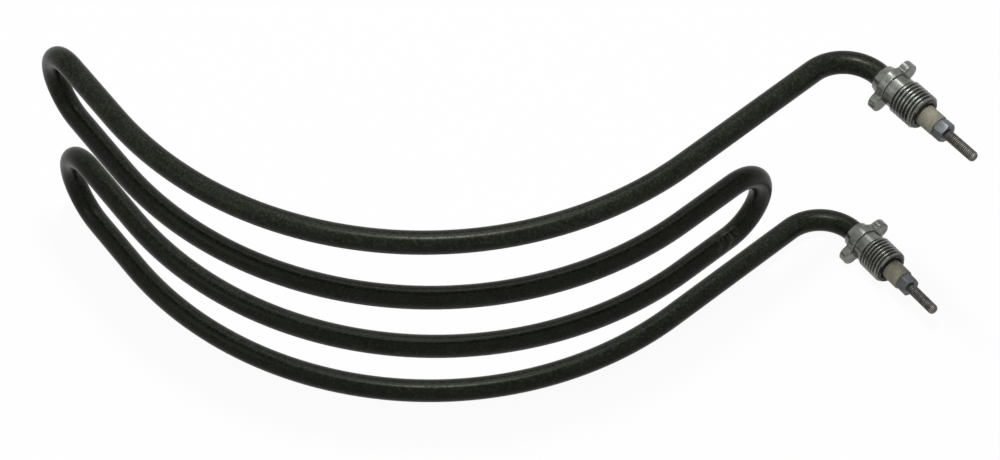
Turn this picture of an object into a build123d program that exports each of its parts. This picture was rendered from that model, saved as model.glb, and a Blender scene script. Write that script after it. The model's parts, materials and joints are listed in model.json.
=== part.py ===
from build123d import *
import math
import os

# Tubular heating element: a metal sheath bent into four runs and rolled into a
# bow, with a threaded bushing, a ceramic and a screw terminal at each end.
# Lengths are in millimetres, turns in degrees and +Z is up. X runs across the
# front of the bow and +Y points into it. The origin is on the ground, under the
# middle of the whole element.

# Sheath and what it holds
sheath_diameter = 8.5
sheath_wall = 0.8
coil_diameter = 3.6
seal_length = 5.0

# Bow: each run is rolled between two straight lengths, the top run first
bow_radius = 137.5
bow_turn_right = 42.0
bow_turn_left = 53.5
right_lengths = [63.5, 25.5, 23.0, 62.5]
left_lengths = [29.0, 29.5, 30.0, 26.0]

# Hairpin returns between the runs: left, right, left
return_radii = [14.7, 15.6, 16.5]
return_turns = [179.4, 179.9, 180.0]

# Leg bends, which turn each end out to its terminal: upper, lower. The lower
# one is rolled about its run, so that its terminal points a little upwards.
leg_bend_radius = 16.5
leg_bend_turns = [92.8, 97.7]
leg_end_lengths = [1.5, 0.3]
lower_leg_roll = -5.0

# Threaded bushing
thread_diameter = 14.0
thread_length = 10.9
thread_chamfer = 1.0
neck_diameter = 12.8
neck_length = 4.4
flange_thickness = 3.5
flange_body_diameter = 14.2
lug_projection = 3.8
lug_width = 7.0
lug_root_round = 1.0
flange_edge_round = 0.4
collar_length = 3.2
collar_diameter = 12.2
collar_rim_diameter = 10.4
mouth_diameter = 10.2
mouth_depth = 1.0
flange_turns = [28.0, 21.0]

# Ceramic insulator
insulator_diameter = 8.2
insulator_projection = 7.3
insulator_chamfer = 0.4
insulator_setback = 1.6
spigot_length = 3.0
spigot_clearance = 0.15

# Screw terminal
screw_diameter = 4.0
screw_pitch_diameter = 3.55
screw_projection = 14.2
screw_end_round = 1.4
insulator_hole_diameter = 4.2
nut_flats = 7.0
nut_thickness = 4.4
nut_chamfer = 0.5
nut_turns = [25.0, 55.0]

# Cold pin, the inner part of the screw terminal
pin_diameter = 3.4
pin_length = 95.0
pin_nose_diameter = 2.6
pin_nose_length = 8.0

# Sizes that follow from those above
bore_diameter = sheath_diameter - 2 * sheath_wall
nut_seat = screw_projection + nut_thickness
bushing_face = nut_seat + insulator_projection
sheath_end = bushing_face + insulator_setback
seal_start = sheath_end + spigot_length
filling_start = seal_start + seal_length
neck_start = bushing_face + thread_length
flange_face = neck_start + neck_length
collar_start = flange_face + flange_thickness
collar_end = collar_start + collar_length
flange_span = flange_body_diameter + 2 * lug_projection
pin_shoulder = sheath_end + pin_length
pin_inner_end = pin_shoulder + pin_nose_length

UP = Vector(0, 0, 1)
INTO_BOW = Vector(0, 1, 0)
BELOW = (Align.CENTER, Align.CENTER, Align.MAX)


class Route:
    """A tube's centreline, laid down piece by piece as a bending machine does it."""

    def __init__(self, heading):
        self.edges = []
        self.place = Vector(0, 0, 0)
        self.heading = heading

    def straight(self, length):
        end = self.place + self.heading * length
        self.edges.append(Edge.make_line(self.place, end))
        self.place = end

    def bend(self, radius, turn, about):
        """Bends round the direction given, made square to the heading."""
        about = (about - self.heading * about.dot(self.heading)).normalized()
        centre = self.place + about.cross(self.heading) * radius
        spin = Axis((0, 0, 0), about)
        arm = self.place - centre
        middle = centre + arm.rotate(spin, turn / 2)
        end = centre + arm.rotate(spin, turn)
        self.edges.append(Edge.make_three_point_arc(self.place, middle, end))
        self.place = end
        self.heading = self.heading.rotate(spin, turn)

    def upright(self):
        """The upward direction square to the heading and to the bow's depth."""
        across = self.heading.cross(INTO_BOW).normalized()
        return across if across.Z > 0 else -across

    def length(self):
        return Wire(self.edges).length

    def rod(self, diameter, first, last, bore=0.0):
        """A round bar, or a tube, along the route between two distances."""
        whole = Wire(self.edges)
        path = whole.trim(first / whole.length, last / whole.length)
        section = Circle(diameter / 2)
        if bore:
            section -= Circle(bore / 2)
        return sweep(Plane(origin=path @ 0, z_dir=path % 0) * section, path=path)


def centreline():
    """The whole route, from the upper terminal's tip to the lower one's."""
    end_lengths = [collar_end + length for length in leg_end_lengths]
    plan_angle = 180 + bow_turn_right - leg_bend_turns[0]
    route = Route(Vector(1, 0, 0).rotate(Axis.Z, plan_angle))
    route.straight(end_lengths[0])
    route.bend(leg_bend_radius, leg_bend_turns[0], UP)
    last_run = len(right_lengths) - 1
    for run in range(last_run + 1):
        leftward = run % 2 == 0
        before, after = right_lengths[run], left_lengths[run]
        if not leftward:
            before, after = after, before
        route.straight(before)
        roll = -route.upright() if leftward else route.upright()
        route.bend(bow_radius, bow_turn_left + bow_turn_right, roll)
        route.straight(after)
        if run < last_run:
            down = route.heading.cross(-UP)
            route.bend(return_radii[run], return_turns[run], down)
    run_axis = Axis((0, 0, 0), route.heading)
    route.bend(leg_bend_radius, leg_bend_turns[1], -route.upright().rotate(run_axis, lower_leg_roll))
    route.straight(end_lengths[1])
    return route


def bushing(flange_turn):
    """Thread, neck, two-lug flange and collar, from the front back, round a bore."""
    thread = Pos(0, 0, -bushing_face) * Cylinder(thread_diameter / 2, thread_length, align=BELOW)
    thread = chamfer(thread.edges().group_by(Axis.Z)[-1], thread_chamfer)
    neck = Pos(0, 0, -neck_start) * Cylinder(neck_diameter / 2, neck_length, align=BELOW)
    outline = Circle(flange_body_diameter / 2) + SlotOverall(flange_span, lug_width)
    lug_roots = outline.vertices().group_by(SortBy.DISTANCE)[0]
    outline = fillet(lug_roots, lug_root_round)
    flange = extrude(Plane.XY.offset(-collar_start) * Rot(0, 0, flange_turn) * outline, flange_thickness)
    flange = fillet(flange.edges().filter_by(Plane.XY), flange_edge_round)
    collar = Pos(0, 0, -collar_start) * Cone(
        collar_rim_diameter / 2, collar_diameter / 2, collar_length, align=BELOW
    )
    depth = collar_end - bushing_face
    bore = Pos(0, 0, -bushing_face) * Cylinder(sheath_diameter / 2, depth, align=BELOW)
    mouth = Pos(0, 0, -bushing_face) * Cone(
        sheath_diameter / 2, mouth_diameter / 2, mouth_depth, align=BELOW
    )
    return thread + neck + flange + collar - bore - mouth


def insulator():
    """Ceramic head on the sheath's end, with a spigot inside the sheath."""
    head_length = sheath_end - nut_seat
    head = Pos(0, 0, -nut_seat) * Cylinder(insulator_diameter / 2, head_length, align=BELOW)
    head = chamfer(head.edges().group_by(Axis.Z)[-1], insulator_chamfer)
    spigot_radius = bore_diameter / 2 - spigot_clearance
    spigot = Pos(0, 0, -sheath_end) * Cylinder(spigot_radius, spigot_length, align=BELOW)
    hole_length = seal_start - nut_seat
    hole = Pos(0, 0, -nut_seat) * Cylinder(insulator_hole_diameter / 2, hole_length, align=BELOW)
    return head + spigot - hole


def nut(turn):
    """Hexagon nut with both faces chamfered at the corners."""
    hexagon = RegularPolygon(nut_flats / 2, 6, major_radius=False, rotation=turn)
    block = extrude(Plane.XY.offset(-nut_seat) * hexagon, nut_thickness)
    corner_radius = nut_flats / math.sqrt(3)
    blank = Pos(0, 0, -screw_projection) * Cylinder(corner_radius, nut_thickness, align=BELOW)
    blank = chamfer(blank.edges().filter_by(GeomType.CIRCLE), nut_chamfer)
    hole = Pos(0, 0, -screw_projection) * Cylinder(screw_pitch_diameter / 2, nut_thickness, align=BELOW)
    return (block & blank) - hole


def screw():
    """The screwed end of a terminal pin, which meets the nut at its thread's pitch diameter."""
    rod = Cylinder(screw_diameter / 2, screw_projection, align=BELOW)
    rod = fillet(rod.edges().group_by(Axis.Z)[-1], screw_end_round)
    in_nut = Cylinder(screw_pitch_diameter / 2, nut_thickness, align=BELOW)
    return rod + Pos(0, 0, -screw_projection) * in_nut


def end_seal():
    """Plug in the sheath, between the ceramic's spigot and the filling."""
    plug = Cylinder(bore_diameter / 2, seal_length, align=BELOW)
    plug -= Cylinder(pin_diameter / 2, seal_length, align=BELOW)
    return Pos(0, 0, -seal_start) * plug


def terminal_plane(tip, outward):
    """Frame at a terminal's tip, with Z outward along it and X level."""
    return Plane(origin=tip, x_dir=UP.cross(outward), z_dir=outward)


route = centreline()
total = route.length()
coil_end = total - pin_shoulder
first_nose = route.rod(pin_nose_diameter, pin_shoulder, pin_inner_end)
last_nose = route.rod(pin_nose_diameter, total - pin_inner_end, coil_end)
first_pin = route.rod(pin_diameter, nut_seat, pin_shoulder) + first_nose
last_pin = route.rod(pin_diameter, coil_end, total - nut_seat) + last_nose
coil = route.rod(coil_diameter, pin_shoulder, coil_end) - first_nose - last_nose
filling = route.rod(bore_diameter, filling_start, total - filling_start)
filling -= route.rod(coil_diameter, pin_shoulder, coil_end)
filling -= route.rod(pin_diameter, filling_start, pin_shoulder)
filling -= route.rod(pin_diameter, coil_end, total - filling_start)
parts = {
    "sheath": route.rod(sheath_diameter, sheath_end, total - sheath_end, bore_diameter),
    "heating_coil": coil,
    "magnesia_filling": filling,
}

terminals = {
    "upper": terminal_plane(Vector(0, 0, 0), -(route.edges[0] % 0)),
    "lower": terminal_plane(route.place, route.heading),
}
pins = {"upper": first_pin, "lower": last_pin}
for index, (end, frame) in enumerate(terminals.items()):
    place = frame.location
    parts["bushing_" + end] = place * bushing(flange_turns[index])
    parts["insulator_" + end] = place * insulator()
    parts["terminal_nut_" + end] = place * nut(nut_turns[index])
    parts["end_seal_" + end] = place * end_seal()
    parts["terminal_pin_" + end] = pins[end] + place * screw()

# Stand the element on the ground, with the origin under the middle of its box
box = Compound(list(parts.values())).bounding_box()
home = Pos(-box.center().X, -box.center().Y, -box.min.Z)
os.makedirs("parts", exist_ok=True)
for name, part in parts.items():
    export_step(home * part, f"parts/{name}.step")
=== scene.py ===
import json
from math import acos, ceil, pi, radians, sqrt

import bmesh
import bpy
from mathutils import Matrix, Vector


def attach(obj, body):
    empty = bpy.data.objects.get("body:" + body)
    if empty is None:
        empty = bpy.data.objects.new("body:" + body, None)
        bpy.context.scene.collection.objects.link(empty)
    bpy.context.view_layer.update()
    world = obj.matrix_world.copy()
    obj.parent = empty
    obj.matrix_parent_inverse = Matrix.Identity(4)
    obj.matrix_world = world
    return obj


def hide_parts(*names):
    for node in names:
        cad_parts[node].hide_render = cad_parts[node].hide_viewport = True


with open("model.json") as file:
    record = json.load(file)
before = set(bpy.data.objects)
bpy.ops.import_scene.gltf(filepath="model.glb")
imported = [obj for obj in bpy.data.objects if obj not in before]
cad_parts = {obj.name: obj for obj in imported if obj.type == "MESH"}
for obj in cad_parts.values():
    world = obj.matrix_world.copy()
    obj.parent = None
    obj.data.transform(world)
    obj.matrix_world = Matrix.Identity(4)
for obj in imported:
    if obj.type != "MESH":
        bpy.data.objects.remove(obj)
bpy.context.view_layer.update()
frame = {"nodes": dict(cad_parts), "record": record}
nodes = frame["nodes"]
mounts = {mount["name"]: mount for mount in frame["record"]["mounts"]}
MM = 0.001

# Viewpoint: the element stands on edge, on its lower flange and its lowest run,
# and is seen from in front and well above, from so far off that it looks flat.
camera_data = bpy.data.cameras.new("camera")
camera_data.sensor_width = 36.0
camera_data.lens = 124.13
camera = bpy.data.objects.new("camera", camera_data)
camera.location = (0.0008, -0.7708, 1.0522)
camera.rotation_euler = (radians(37.559), 0, radians(0.105))
bpy.context.collection.objects.link(camera)
bpy.context.scene.camera = camera
bpy.context.scene.view_settings.view_transform = "Standard"


# Floor: a large white sheet under the element. What the camera and polished
# metal see of it is mostly plain white, over which a faint shadow stays.
def add_node(tree, kind, inputs=None, **settings):
    """A shader node with its settings, its input values and its links."""
    made = tree.nodes.new(kind)
    for name, value in settings.items():
        setattr(made, name, value)
    for name, value in (inputs or {}).items():
        if isinstance(value, bpy.types.NodeSocket):
            tree.links.new(value, made.inputs[name])
        else:
            made.inputs[name].default_value = value
    return made


def seen_directly(tree):
    """1 for what the camera or a mirror-like surface sees, and 0 for light that is scattered."""
    path = add_node(tree, "ShaderNodeLightPath").outputs
    shiny = add_node(tree, "ShaderNodeMath", {0: path["Is Camera Ray"], 1: path["Is Glossy Ray"]},
                     operation="MAXIMUM").outputs[0]
    return add_node(tree, "ShaderNodeMath", {0: shiny, 1: path["Is Transmission Ray"]},
                    operation="MAXIMUM").outputs[0]


FLOOR_SIDE = 6.0
FLOOR_WHITE = (0.92, 0.92, 0.92, 1)
FLOOR_GLOW = 0.95
floor_bm = bmesh.new()
bmesh.ops.create_grid(floor_bm, x_segments=1, y_segments=1, size=FLOOR_SIDE / 2)
floor_mesh = bpy.data.meshes.new("floor")
floor_bm.to_mesh(floor_mesh)
floor_bm.free()
floor = bpy.data.objects.new("floor", floor_mesh)
bpy.context.collection.objects.link(floor)
floor_paint = bpy.data.materials.new("white_floor")
floor_paint.use_nodes = True
tree = floor_paint.node_tree
tree.nodes.clear()
matt = add_node(tree, "ShaderNodeBsdfDiffuse", {"Color": FLOOR_WHITE})
glow = add_node(tree, "ShaderNodeEmission", {"Color": (1, 1, 1, 1), "Strength": 1.0})
share = add_node(tree, "ShaderNodeMath", {0: seen_directly(tree), 1: FLOOR_GLOW}, operation="MULTIPLY")
mixed = add_node(tree, "ShaderNodeMixShader", {0: share.outputs[0], 1: matt.outputs[0], 2: glow.outputs[0]})
add_node(tree, "ShaderNodeOutputMaterial", {"Surface": mixed.outputs[0]})
floor_mesh.materials.append(floor_paint)

# Light: a soft lamp overhead, which draws the streak along the top run and
# leaves the runs below it in shade, a weaker one behind it that glints on the
# metal fittings, a wide faint one from the left, and an even pale world.
WORLD_LEVEL = 0.15
world = bpy.data.worlds.new("pale_room")
world.use_nodes = True
tree = world.node_tree
tree.nodes.clear()
level = add_node(tree, "ShaderNodeMapRange",
                 {"Value": seen_directly(tree), "To Min": WORLD_LEVEL, "To Max": 1.0})
sky = add_node(tree, "ShaderNodeBackground", {"Color": (1, 1, 1, 1), "Strength": level.outputs[0]})
add_node(tree, "ShaderNodeOutputWorld", {"Surface": sky.outputs[0]})
bpy.context.scene.world = world

LAMPS = {
    "top_lamp": {"at": (-0.01, 0.085, 1.3), "side": 0.16, "watts": 11.0},
    "back_lamp": {"at": (0.006, 0.627, 1.108), "side": 0.30, "watts": 2.0},
    "left_lamp": {"at": (-1.1, -0.5, 1.1), "side": 0.7, "watts": 2.0},
}
LAMP_AIM = Vector((0.0, 0.0, 0.05))
for name, lamp in LAMPS.items():
    light = bpy.data.lights.new(name, "AREA")
    light.shape = "DISK"
    light.size = lamp["side"]
    light.energy = lamp["watts"]
    holder = bpy.data.objects.new(name, light)
    holder.location = lamp["at"]
    holder.rotation_euler = (LAMP_AIM - Vector(lamp["at"])).to_track_quat("-Z", "Y").to_euler()
    bpy.context.collection.objects.link(holder)


# Sheath: one drawn steel tube, bent cold over its own heating wire. Its black
# is a furnace oxide: fine grained, half matt, and rubbed to bare grey specks
# where two runs have chafed beside the right-hand return.
def new_material(name, **fixed):
    """A material with its Principled shader, whose fixed values are set by socket name."""
    paint = bpy.data.materials.new(name)
    paint.use_nodes = True
    shader = paint.node_tree.nodes["Principled BSDF"]
    for socket, value in fixed.items():
        shader.inputs[socket.replace("_", " ")].default_value = value
    return paint, paint.node_tree, shader


def new_group(name, inputs, outputs):
    """An empty shader group with its float inputs and outputs, and their two end nodes."""
    group = bpy.data.node_groups.new(name, "ShaderNodeTree")
    for socket, value in inputs.items():
        made = group.interface.new_socket(socket, in_out="INPUT", socket_type="NodeSocketFloat")
        made.default_value = value
    for socket in outputs:
        group.interface.new_socket(socket, in_out="OUTPUT", socket_type="NodeSocketFloat")
    entry = group.nodes.new("NodeGroupInput").outputs
    result = group.nodes.new("NodeGroupOutput").inputs
    return group, entry, result


def use_group(tree, group, **values):
    """One use of a shader group in a material, with its own values."""
    made = tree.nodes.new("ShaderNodeGroup")
    made.node_tree = group
    for socket, value in values.items():
        made.inputs[socket].default_value = value
    return made.outputs


def blend_colours(tree, mask, first, second):
    """The first colour where the mask is 0 and the second where it is 1."""
    made = tree.nodes.new("ShaderNodeMix")
    made.data_type = "RGBA"
    tree.links.new(mask, made.inputs["Factor"])
    for socket, colour in ((made.inputs[6], first), (made.inputs[7], second)):
        if isinstance(colour, bpy.types.NodeSocket):
            tree.links.new(colour, socket)
        else:
            socket.default_value = (*colour, 1)
    return made.outputs[2]


def rescale(tree, mask, low, high):
    """A mask from 0 to 1 spread over another range of values."""
    return add_node(tree, "ShaderNodeMapRange", {"Value": mask, "To Min": low, "To Max": high}).outputs[0]


def add_bump(tree, shader, height, depth):
    """Surface relief of a depth in metres where the height goes from 0 to 1."""
    bump = add_node(tree, "ShaderNodeBump", {"Height": height, "Distance": depth, "Strength": 1.0})
    tree.links.new(bump.outputs[0], shader.inputs["Normal"])


# Mottle: a soft-edged noise, for clouds, grain and specks alike.
mottle, entry, result = new_group("mottle", {"Scale": 400.0, "Low": 0.4, "High": 0.6}, ["Mask"])
place = add_node(mottle, "ShaderNodeTexCoord").outputs["Object"]
cloud = add_node(mottle, "ShaderNodeTexNoise",
                 {"Vector": place, "Scale": entry["Scale"], "Detail": 5.0, "Roughness": 0.62})
spread = add_node(mottle, "ShaderNodeMapRange",
                  {"Value": cloud.outputs["Fac"], "From Min": entry["Low"], "From Max": entry["High"]})
mottle.links.new(spread.outputs[0], result["Mask"])


SHARP_ANGLE = radians(32.0)


def finish_piece(bm, name, paint, stands_for, place=None):
    """Makes an object of a bmesh, smooth but for its sharp edges, in place of a CAD node."""
    if place:
        bmesh.ops.transform(bm, matrix=place, verts=bm.verts)
    for face in bm.faces:
        face.smooth = True
    for edge in bm.edges:
        edge.smooth = edge.calc_face_angle(0) < SHARP_ANGLE
    mesh = bpy.data.meshes.new(name)
    bm.to_mesh(mesh)
    bm.free()
    mesh.materials.append(paint)
    piece = bpy.data.objects.new(name, mesh)
    bpy.context.collection.objects.link(piece)
    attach(piece, "root")
    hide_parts(stands_for)
    return piece


OXIDE_BLACK = (0.0022, 0.0029, 0.0016)
OXIDE_GREY = (0.027, 0.030, 0.0195)
OXIDE_GREEN = (0.0165, 0.0210, 0.0155)
OXIDE_GLINT = (0.97, 1.0, 0.84, 1)
OXIDE_ROUGHNESS = (0.29, 0.42)
OXIDE_RELIEF = 0.014 * MM
GREEN_SHARE = 0.45
GREY_SHARE = 0.85
SCALE_BARE = (0.105, 0.112, 0.092)
RUB_CENTRE = (0.0845, 0.0005, 0.042)
RUB_REACH = 0.009
RUB_CORE = RUB_REACH * 0.3
black_oxide, tree, shader = new_material("black_oxide", Metallic=0.0, Specular_IOR_Level=0.11,
                                         Specular_Tint=OXIDE_GLINT)
clouds = use_group(tree, mottle, Scale=170.0, Low=0.36, High=0.66)["Mask"]
grain = use_group(tree, mottle, Scale=900.0, Low=0.47, High=0.68)["Mask"]
specks = use_group(tree, mottle, Scale=420.0, Low=0.50, High=0.64)["Mask"]
position = add_node(tree, "ShaderNodeTexCoord").outputs["Object"]
distance = add_node(tree, "ShaderNodeVectorMath", {0: position, 1: RUB_CENTRE}, operation="DISTANCE")
rub = add_node(tree, "ShaderNodeMapRange",
               {"Value": distance.outputs["Value"], "From Min": RUB_REACH, "From Max": RUB_CORE})
rubbed = add_node(tree, "ShaderNodeMath", {0: specks, 1: rub.outputs[0]}, operation="MULTIPLY")
colour = blend_colours(tree, rescale(tree, clouds, 0.0, GREEN_SHARE), OXIDE_BLACK, OXIDE_GREEN)
colour = blend_colours(tree, rescale(tree, grain, 0.0, GREY_SHARE), colour, OXIDE_GREY)
colour = blend_colours(tree, rubbed.outputs[0], colour, SCALE_BARE)
tree.links.new(colour, shader.inputs["Base Color"])
tree.links.new(rescale(tree, grain, *OXIDE_ROUGHNESS), shader.inputs["Roughness"])
add_bump(tree, shader, grain, OXIDE_RELIEF)

# Heights beside a terminal are measured from its tip, and are negative into the
# element. Each leg, from the upper one on, has a straight end and a turn in
# degrees. Each run has a straight before and after its bow, and each return
# between two runs has a radius and a turn.
SIDES = ("upper", "lower")
UP = Vector((0, 0, 1))
INTO_BOW = Vector((0, 1, 0))
TIP_ROUND = 1.4 * MM
SHEATH_RADIUS = 4.25 * MM
BORE_RADIUS = 3.45 * MM
SHEATH_SIDES = 40
SHEATH_END = -27.5 * MM
LEG_ENDS = (21.9 * MM, 20.7 * MM)
LEG_RADIUS = 16.5 * MM
LEG_TURNS = (92.8, 97.7)
LOWER_LEG_ROLL = -5.0
BOW_RADIUS = 137.5 * MM
BOW_TURN = 95.5
STRAIGHTS = ((63.5 * MM, 29.0 * MM), (29.5 * MM, 25.5 * MM), (23.0 * MM, 30.0 * MM), (26.0 * MM, 62.5 * MM))
RETURNS = ((14.7 * MM, 179.4), (15.6 * MM, 179.9), (16.5 * MM, 180.0))
BEND_SAG = 0.015 * MM


def terminal_frame(side):
    """Places a shape built along Z, with the terminal's tip at 0, on that end of the element."""
    mount = mounts["terminal_" + side]
    out = Vector(mount["axis"])
    across = UP.cross(out).normalized()
    half = mount["dims"]["length_mm"] * MM / 2
    tip = Vector(mount["pos_m"]) + out * (half + TIP_ROUND)
    turn = Matrix((across, out.cross(across), out)).transposed()
    return Matrix.Translation(tip) @ turn.to_4x4()


def fill_ring(bm, rings, normal=UP):
    """Closes the flat ring between two loops of edges."""
    bmesh.ops.triangle_fill(bm, edges=rings, use_beauty=True, normal=normal)


class Bender:
    """Draws a tube's section along its route, as a bending machine feeds and turns it."""

    def __init__(self, bm, section, place, heading):
        self.bm = bm
        self.section = section
        self.place = place
        self.heading = heading

    def feed(self, length):
        """Straight on."""
        made = bmesh.ops.extrude_edge_only(self.bm, edges=self.section)["geom"]
        corners = {item for item in made if isinstance(item, bmesh.types.BMVert)}
        bmesh.ops.translate(self.bm, verts=list(corners), vec=self.heading * length)
        self.section = [item for item in made if isinstance(item, bmesh.types.BMEdge)
                        and all(end in corners for end in item.verts)]
        self.place = self.place + self.heading * length

    def bend(self, radius, turn, about):
        """Round the direction given, made square to the heading, by a turn in degrees."""
        angle = radians(turn)
        about = (about - self.heading * about.dot(self.heading)).normalized()
        centre = self.place + about.cross(self.heading) * radius
        steps = ceil(angle / (2 * acos(1 - BEND_SAG / radius)))
        corners = {corner for edge in self.section for corner in edge.verts}
        made = bmesh.ops.spin(self.bm, geom=list(corners) + self.section, cent=centre, axis=about,
                              angle=angle, steps=steps)
        self.section = [item for item in made["geom_last"] if isinstance(item, bmesh.types.BMEdge)]
        turned = Matrix.Rotation(angle, 3, about)
        self.place = centre + turned @ (self.place - centre)
        self.heading = turned @ self.heading

    def upright(self):
        """The upward direction square to the heading and to the bow's depth."""
        across = self.heading.cross(INTO_BOW).normalized()
        return across if across.z > 0 else -across


start = terminal_frame("upper") @ Matrix.Translation((0, 0, SHEATH_END))
heading = -start.col[2].to_3d()
tube = bmesh.new()
for radius in (SHEATH_RADIUS, BORE_RADIUS):
    bmesh.ops.create_circle(tube, radius=radius, segments=SHEATH_SIDES, matrix=start)
first_section = list(tube.edges)
bender = Bender(tube, first_section, start.translation, heading)
bender.feed(LEG_ENDS[0])
bender.bend(LEG_RADIUS, LEG_TURNS[0], UP)
for run, (before, after) in enumerate(STRAIGHTS):
    bender.feed(before)
    bender.bend(BOW_RADIUS, BOW_TURN, bender.upright() * (1 if run % 2 else -1))
    bender.feed(after)
    if run < len(RETURNS):
        bender.bend(*RETURNS[run], bender.heading.cross(-UP))
roll = Matrix.Rotation(radians(LOWER_LEG_ROLL), 3, bender.heading)
bender.bend(LEG_RADIUS, LEG_TURNS[1], roll @ -bender.upright())
bender.feed(LEG_ENDS[1])
fill_ring(tube, first_section, heading)
fill_ring(tube, bender.section, bender.heading)
bmesh.ops.recalc_face_normals(tube, faces=tube.faces)
sheath = finish_piece(tube, "sheath_tube", black_oxide, "sheath")


# Filling and wire: fused magnesia powder, packed hard round the heating wire.
# Both lie inside the sheath and show nowhere.
def paint_node(node, paint):
    """Gives a CAD node its one material and leaves its shape alone."""
    nodes[node].data.materials.clear()
    nodes[node].data.materials.append(paint)


MAGNESIA_PALE = (0.66, 0.64, 0.58)
MAGNESIA_GREY = (0.48, 0.47, 0.43)
MAGNESIA_RELIEF = 0.05 * MM
magnesia, tree, shader = new_material("magnesia", Roughness=0.95)
grain = use_group(tree, mottle, Scale=1800.0, Low=0.35, High=0.65)["Mask"]
tree.links.new(blend_colours(tree, grain, MAGNESIA_PALE, MAGNESIA_GREY), shader.inputs["Base Color"])
add_bump(tree, shader, grain, MAGNESIA_RELIEF)
paint_node("magnesia_filling", magnesia)

WIRE_GREY = (0.30, 0.29, 0.27)
WIRE_BLUE = (0.14, 0.15, 0.17)
WIRE_ROUGHNESS = (0.35, 0.5)
resistance_wire, tree, shader = new_material("resistance_wire", Metallic=1.0)
grain = use_group(tree, mottle, Scale=700.0, Low=0.4, High=0.6)["Mask"]
tree.links.new(blend_colours(tree, grain, WIRE_GREY, WIRE_BLUE), shader.inputs["Base Color"])
tree.links.new(rescale(tree, grain, *WIRE_ROUGHNESS), shader.inputs["Roughness"])
paint_node("heating_coil", resistance_wire)

# Bushings: turned and plated steel, rolled on to each end of the sheath. Each has
# a two-lug flange, a plain neck and a thread that draws the flange against the
# appliance's wall, and its mouth and nose face are painted near black as shade.
#
# The thread's profile is in shares of its pitch along and of its depth out.
THREAD_PROFILE = ((-0.10, 0), (0.10, 0), (0.39, 1), (0.61, 1))
THREAD_STEPS = 64
SAME_PLACE = 0.001 * MM
CUT_TOLERANCE = 0.0001 * MM


def joined_copy(node):
    """A bmesh of a node's surface, with its loose triangles joined up."""
    bm = bmesh.new()
    bm.from_mesh(nodes[node].data)
    bmesh.ops.remove_doubles(bm, verts=bm.verts, dist=SAME_PLACE)
    return bm


def cut_off(bm, height, upwards=True):
    """Cuts a bmesh square to Z and drops what lies beyond the cut."""
    everything = bm.verts[:] + bm.edges[:] + bm.faces[:]
    bmesh.ops.bisect_plane(bm, geom=everything, dist=CUT_TOLERANCE, plane_co=(0, 0, height),
                           plane_no=(0, 0, 1 if upwards else -1), clear_outer=True)


def open_ring(bm, height):
    """The open edges that lie at one height."""
    return [edge for edge in bm.edges if edge.is_boundary
            and all(abs(corner.co.z - height) < SAME_PLACE for corner in edge.verts)]


def drawn_to(bm, ring, radius, height):
    """Draws a ring of edges about Z out to another radius and height."""
    made = bmesh.ops.extrude_edge_only(bm, edges=ring)["geom"]
    corners = {item for item in made if isinstance(item, bmesh.types.BMVert)}
    for corner in corners:
        flat = Vector(corner.co.xy).normalized() * radius
        corner.co = (flat.x, flat.y, height)
    return [edge for edge in bm.edges if edge.is_boundary and all(end in corners for end in edge.verts)]


def thread_tube(major, minor, pitch, first, last, steps):
    """An open-ended screw thread about Z between two heights, its profile spun as a helix."""
    bm = bmesh.new()
    first_turn = -2
    last_turn = int((last - first) / pitch) + 1
    chain = [bm.verts.new((minor + (major - minor) * rise, 0, first + (turn + along) * pitch))
             for turn in range(first_turn, last_turn + 1) for along, rise in THREAD_PROFILE]
    links = [bm.edges.new(pair) for pair in zip(chain, chain[1:])]
    bmesh.ops.spin(bm, geom=chain + links, cent=(0, 0, 0), axis=(0, 0, 1), dvec=(0, 0, pitch / steps),
                   angle=2 * pi, steps=steps, use_merge=False)
    bmesh.ops.remove_doubles(bm, verts=bm.verts, dist=SAME_PLACE)
    cut_off(bm, last)
    cut_off(bm, first, upwards=False)
    return bm


def limit_radius(bm, limit):
    """Draws in each corner that stands outside limit(height), and pushes out none."""
    for corner in bm.verts:
        radius = corner.co.xy.length
        allowed = limit(corner.co.z)
        if radius > allowed:
            corner.co.xy *= allowed / radius


def join_to(bm, other):
    """Adds another bmesh's surface to this one."""
    spare = bpy.data.meshes.new("spare")
    other.to_mesh(spare)
    other.free()
    bm.from_mesh(spare)
    bpy.data.meshes.remove(spare)


# Edge wear: 1 where a rounded normal turns away from the face's own, broken up
# by a noise.
EDGE_STARTS = 0.995
EDGE_FULL = 0.86
edge_wear, entry, result = new_group("edge_wear", {"Width": 0.2 * MM, "Scale": 900.0}, ["Mask"])
rounded = add_node(edge_wear, "ShaderNodeBevel", {"Radius": entry["Width"]}, samples=6).outputs[0]
plain = add_node(edge_wear, "ShaderNodeNewGeometry").outputs["Normal"]
turned = add_node(edge_wear, "ShaderNodeVectorMath", {0: rounded, 1: plain}, operation="DOT_PRODUCT")
near = add_node(edge_wear, "ShaderNodeMapRange",
                {"Value": turned.outputs["Value"], "From Min": EDGE_STARTS, "From Max": EDGE_FULL})
place = add_node(edge_wear, "ShaderNodeTexCoord").outputs["Object"]
cloud = add_node(edge_wear, "ShaderNodeTexNoise",
                 {"Vector": place, "Scale": entry["Scale"], "Detail": 4.0})
broken = add_node(edge_wear, "ShaderNodeMapRange",
                  {"Value": cloud.outputs["Fac"], "From Min": 0.38, "From Max": 0.56})
worn = add_node(edge_wear, "ShaderNodeMath", {0: near.outputs[0], 1: broken.outputs[0]}, operation="MULTIPLY")
edge_wear.links.new(worn.outputs[0], result["Mask"])

# Crevice: 1 in grooves and seams, where little of the surroundings can be seen. The materials use it to paint
# shade there.
crevice, entry, result = new_group("crevice", {"Reach": 1.0 * MM, "Low": 0.35, "High": 0.85}, ["Mask"])
shut_in = add_node(crevice, "ShaderNodeAmbientOcclusion", {"Distance": entry["Reach"]}, samples=8)
depth = add_node(crevice, "ShaderNodeMapRange",
                 {"Value": shut_in.outputs["AO"], "From Min": entry["High"], "From Max": entry["Low"]})
crevice.links.new(depth.outputs[0], result["Mask"])

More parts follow.
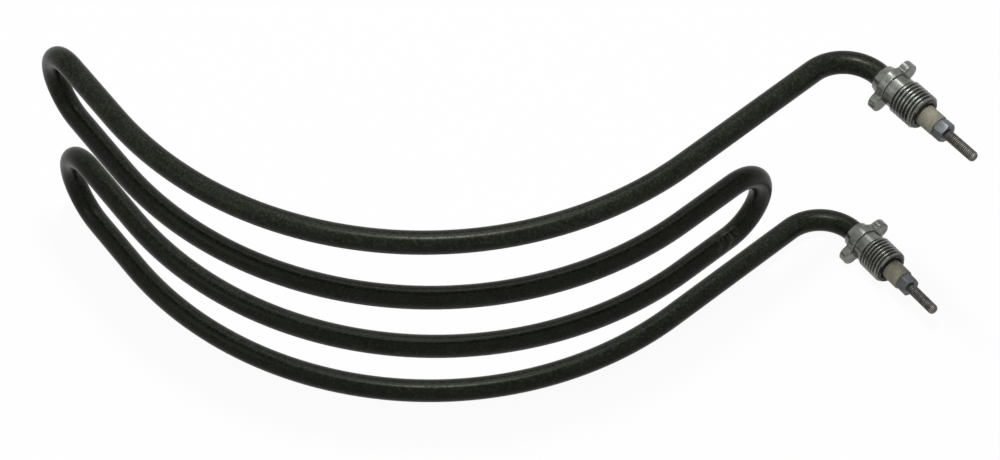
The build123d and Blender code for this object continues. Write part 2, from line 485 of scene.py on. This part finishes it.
PLATE_LIGHT = (0.195, 0.20, 0.183)
PLATE_DULL = (0.096, 0.102, 0.089)
PLATE_BRIGHT = (0.31, 0.315, 0.30)
CREVICE_SHADE_GREY = (0.085, 0.088, 0.076)
MOUTH_SHADE_BLACK = (0.012, 0.012, 0.010)
PLATE_ROUGHNESS = (0.20, 0.28)
DIRT_ROUGHNESS = 0.30
PLATE_RELIEF = 0.0015 * MM
plated_steel, tree, shader = new_material("plated_steel", Metallic=0.8)
clouds = use_group(tree, mottle, Scale=260.0, Low=0.36, High=0.64)["Mask"]
grain = use_group(tree, mottle, Scale=3200.0, Low=0.35, High=0.65)["Mask"]
worn = use_group(tree, edge_wear, Width=0.22 * MM, Scale=1100.0)["Mask"]
crevice_shade = use_group(tree, crevice, Reach=0.8 * MM, Low=0.05, High=0.65)["Mask"]
colour = blend_colours(tree, clouds, PLATE_LIGHT, PLATE_DULL)
colour = blend_colours(tree, worn, colour, PLATE_BRIGHT)
# Painted shade: thread roots, grooves and seams are darkened towards a grey by the crevice mask, which also
# roughens them.
colour = blend_colours(tree, crevice_shade, colour, CREVICE_SHADE_GREY)
# Painted shade: a per-corner attribute blends in near black at the mouth and nose face, for the shadow in the
# gap round the ceramic.
mouth_shade = add_node(tree, "ShaderNodeAttribute", attribute_name="mouth_shade").outputs["Fac"]
colour = blend_colours(tree, mouth_shade, colour, MOUTH_SHADE_BLACK)
tree.links.new(colour, shader.inputs["Base Color"])
metal_roughness = rescale(tree, clouds, *PLATE_ROUGHNESS)
dirt_roughness = rescale(tree, crevice_shade, 0.0, DIRT_ROUGHNESS)
roughness = add_node(tree, "ShaderNodeMath", {0: metal_roughness, 1: dirt_roughness}, operation="ADD")
tree.links.new(roughness.outputs[0], shader.inputs["Roughness"])
add_bump(tree, shader, grain, PLATE_RELIEF)

# The new thread and mouth meet the node's own neck at NECK_CUT, each SEAM_STEP
# within its wall.
BUSHING_FACE = -25.9 * MM
THREAD_END = -36.8 * MM
THREAD_MAJOR = 7.0 * MM
THREAD_MINOR = 6.08 * MM
THREAD_PITCH = 1.5 * MM
NOSE_CHAMFER = 1.0 * MM
NECK_RADIUS = 6.4 * MM
NECK_CUT = THREAD_END - 0.4 * MM
MOUTH_RADIUS = 5.1 * MM
MOUTH_DEPTH = 1.0 * MM
SEAM_STEP = 0.02 * MM
WALL_MIDDLE = (SHEATH_RADIUS + NECK_RADIUS) / 2
MOUTH_SHADE_RADIUS = 6.4 * MM


def nose_limit(height):
    """The bushing's outline at its nose: full size, then a chamfer of equal sides."""
    return THREAD_MAJOR - max(0.0, height - (BUSHING_FACE - NOSE_CHAMFER))


for side in SIDES:
    there = terminal_frame(side)
    body = joined_copy("bushing_" + side)
    bmesh.ops.transform(body, matrix=there.inverted(), verts=body.verts)
    cut_off(body, NECK_CUT)
    thread = thread_tube(THREAD_MAJOR, THREAD_MINOR, THREAD_PITCH, THREAD_END, BUSHING_FACE, THREAD_STEPS)
    limit_radius(thread, nose_limit)
    nose = drawn_to(thread, open_ring(thread, BUSHING_FACE), MOUTH_RADIUS, BUSHING_FACE)
    mouth = drawn_to(thread, nose, SHEATH_RADIUS, BUSHING_FACE - MOUTH_DEPTH)
    drawn_to(thread, mouth, SHEATH_RADIUS + SEAM_STEP, NECK_CUT)
    shoulder = drawn_to(thread, open_ring(thread, THREAD_END), NECK_RADIUS - SEAM_STEP, THREAD_END)
    drawn_to(thread, shoulder, NECK_RADIUS - SEAM_STEP, NECK_CUT)
    join_to(body, thread)
    fill_ring(body, [edge for edge in open_ring(body, NECK_CUT) if edge.verts[0].co.xy.length < WALL_MIDDLE])
    fill_ring(body, [edge for edge in open_ring(body, NECK_CUT) if edge.verts[0].co.xy.length > WALL_MIDDLE])
    bmesh.ops.recalc_face_normals(body, faces=body.faces)
    # Painted shade: corners at the nose and in the mouth get 1, which the material turns near black.
    mouth_shade = body.verts.layers.float.new("mouth_shade")
    for corner in body.verts:
        at_nose = corner.co.z > BUSHING_FACE - MOUTH_DEPTH - SEAM_STEP
        corner[mouth_shade] = 1.0 if at_nose and corner.co.xy.length < MOUTH_SHADE_RADIUS else 0.0
    piece = finish_piece(body, "bushing_body_" + side, plated_steel, "bushing_" + side, place=there)

# Insulators: pressed ceramic heads, fired and unglazed, that stand on the
# sheath's cut end with a spigot inside it and keep the nut clear of the steel.
CLAY_PALE = (0.275, 0.258, 0.188)
CLAY_GREY = (0.185, 0.177, 0.135)
CLAY_CREVICE_SHADE = (0.13, 0.125, 0.10)
CLAY_GRAIN_SHARE = 0.35
CLAY_RELIEF = 0.03 * MM
HEAD_EDGE = 0.12 * MM
FLAT_ANGLE = radians(1.0)
ceramic, tree, shader = new_material("ceramic", Metallic=0.0, Roughness=0.72)
clouds = use_group(tree, mottle, Scale=300.0, Low=0.38, High=0.62)["Mask"]
grain = use_group(tree, mottle, Scale=2400.0, Low=0.40, High=0.62)["Mask"]
crevice_shade = use_group(tree, crevice, Reach=1.0 * MM, Low=0.30, High=0.85)["Mask"]
colour = blend_colours(tree, clouds, CLAY_PALE, CLAY_GREY)
colour = blend_colours(tree, rescale(tree, grain, 0.0, CLAY_GRAIN_SHARE), colour, CLAY_GREY)
# Painted shade: the crevice mask darkens the head in its seams, where it meets the nut and the bushing.
colour = blend_colours(tree, crevice_shade, colour, CLAY_CREVICE_SHADE)
tree.links.new(colour, shader.inputs["Base Color"])
add_bump(tree, shader, grain, CLAY_RELIEF)


def soften_edges(bm, width):
    """Joins the triangles of flat faces, then breaks the sharp edges by a small round."""
    bmesh.ops.dissolve_limit(bm, angle_limit=FLAT_ANGLE, verts=bm.verts, edges=bm.edges)
    sharp = [edge for edge in bm.edges if edge.calc_face_angle(0) > SHARP_ANGLE]
    bmesh.ops.bevel(bm, geom=sharp, offset=width, offset_type="OFFSET", affect="EDGES", segments=2,
                    profile=0.5, material=-1, clamp_overlap=True)


for side in SIDES:
    head = joined_copy("insulator_" + side)
    soften_edges(head, HEAD_EDGE)
    piece = finish_piece(head, "insulator_head_" + side, ceramic, "insulator_" + side)

# Nuts: small cold-formed hexagons, plated and since dulled blue-grey, which
# hold a ring terminal or a push-on tag on the pin.
NUT_BLUE = (0.105, 0.114, 0.122)
NUT_DULL = (0.085, 0.09, 0.094)
NUT_BRIGHT = (0.19, 0.20, 0.205)
NUT_ROUGHNESS = (0.40, 0.52)
NUT_RELIEF = 0.008 * MM
NUT_EDGE = 0.10 * MM
nut_steel, tree, shader = new_material("nut_steel", Metallic=0.8)
clouds = use_group(tree, mottle, Scale=420.0, Low=0.38, High=0.62)["Mask"]
grain = use_group(tree, mottle, Scale=3000.0, Low=0.35, High=0.65)["Mask"]
worn = use_group(tree, edge_wear, Width=0.18 * MM, Scale=1400.0)["Mask"]
crevice_shade = use_group(tree, crevice, Reach=0.8 * MM, Low=0.30, High=0.80)["Mask"]
colour = blend_colours(tree, clouds, NUT_BLUE, NUT_DULL)
colour = blend_colours(tree, worn, colour, NUT_BRIGHT)
# Painted shade: the crevice mask darkens the nut's seams and the thread inside it.
colour = blend_colours(tree, crevice_shade, colour, CREVICE_SHADE_GREY)
tree.links.new(colour, shader.inputs["Base Color"])
tree.links.new(rescale(tree, clouds, *NUT_ROUGHNESS), shader.inputs["Roughness"])
add_bump(tree, shader, grain, NUT_RELIEF)
for side in SIDES:
    hexagon = joined_copy("terminal_nut_" + side)
    soften_edges(hexagon, NUT_EDGE)
    piece = finish_piece(hexagon, "nut_body_" + side, nut_steel, "terminal_nut_" + side)

# Terminal pins: steel studs that carry the current through the ceramic into
# the heating wire. The free end has a rolled thread and a rounded tip, and
# has gone dark and mottled from handling and heat.
PIN_BROWN = (0.170, 0.162, 0.150)
PIN_DARK = (0.085, 0.080, 0.075)
PIN_BRIGHT = (0.13, 0.125, 0.115)
PIN_WEAR_SHARE = 0.6
PIN_ROUGHNESS = (0.48, 0.62)
PIN_RELIEF = 0.01 * MM
pin_steel, tree, shader = new_material("pin_steel", Metallic=1.0)
clouds = use_group(tree, mottle, Scale=520.0, Low=0.40, High=0.60)["Mask"]
grain = use_group(tree, mottle, Scale=3600.0, Low=0.35, High=0.65)["Mask"]
worn = use_group(tree, edge_wear, Width=0.10 * MM, Scale=1600.0)["Mask"]
colour = blend_colours(tree, clouds, PIN_BROWN, PIN_DARK)
colour = blend_colours(tree, rescale(tree, worn, 0.0, PIN_WEAR_SHARE), colour, PIN_BRIGHT)
tree.links.new(colour, shader.inputs["Base Color"])
tree.links.new(rescale(tree, clouds, *PIN_ROUGHNESS), shader.inputs["Roughness"])
add_bump(tree, shader, grain, PIN_RELIEF)

SCREW_END = -14.2 * MM
SCREW_CUT = SCREW_END - 0.3 * MM
SCREW_MAJOR = 2.0 * MM
SCREW_MINOR = 1.6 * MM
SCREW_PITCH = 0.7 * MM
SCREW_STEPS = 40
IN_NUT_RADIUS = 1.775 * MM
TIP_FLAT = 0.3 * MM


def tip_limit(height):
    """The stud's outline at its tip: full size, then a quarter round."""
    into_round = max(0.0, height + TIP_ROUND)
    return SCREW_MAJOR - TIP_ROUND + sqrt(max(0.0, TIP_ROUND ** 2 - into_round ** 2))


for side in SIDES:
    there = terminal_frame(side)
    stud = joined_copy("terminal_pin_" + side)
    bmesh.ops.transform(stud, matrix=there.inverted(), verts=stud.verts)
    cut_off(stud, SCREW_CUT)
    thread = thread_tube(SCREW_MAJOR, SCREW_MINOR, SCREW_PITCH, SCREW_END, 0.0, SCREW_STEPS)
    limit_radius(thread, tip_limit)
    tip = drawn_to(thread, open_ring(thread, 0.0), TIP_FLAT, 0.0)
    bmesh.ops.holes_fill(thread, edges=tip, sides=0)
    root = drawn_to(thread, open_ring(thread, SCREW_END), IN_NUT_RADIUS - SEAM_STEP, SCREW_END)
    drawn_to(thread, root, IN_NUT_RADIUS - SEAM_STEP, SCREW_CUT)
    join_to(stud, thread)
    fill_ring(stud, open_ring(stud, SCREW_CUT))
    bmesh.ops.recalc_face_normals(stud, faces=stud.faces)
    piece = finish_piece(stud, "stud_" + side, pin_steel, "terminal_pin_" + side, place=there)

# End seals: a moisture stop of poured silicone behind each ceramic head. They
# lie inside the sheath and show nowhere.
SEAL_RED = (0.30, 0.075, 0.045)
SEAL_DARK = (0.20, 0.05, 0.03)
SEAL_RELIEF = 0.02 * MM
seal_paint, tree, shader = new_material("seal", Roughness=0.6)
grain = use_group(tree, mottle, Scale=900.0, Low=0.38, High=0.62)["Mask"]
tree.links.new(blend_colours(tree, grain, SEAL_RED, SEAL_DARK), shader.inputs["Base Color"])
add_bump(tree, shader, grain, SEAL_RELIEF)
for side in SIDES:
    paint_node("end_seal_" + side, seal_paint)
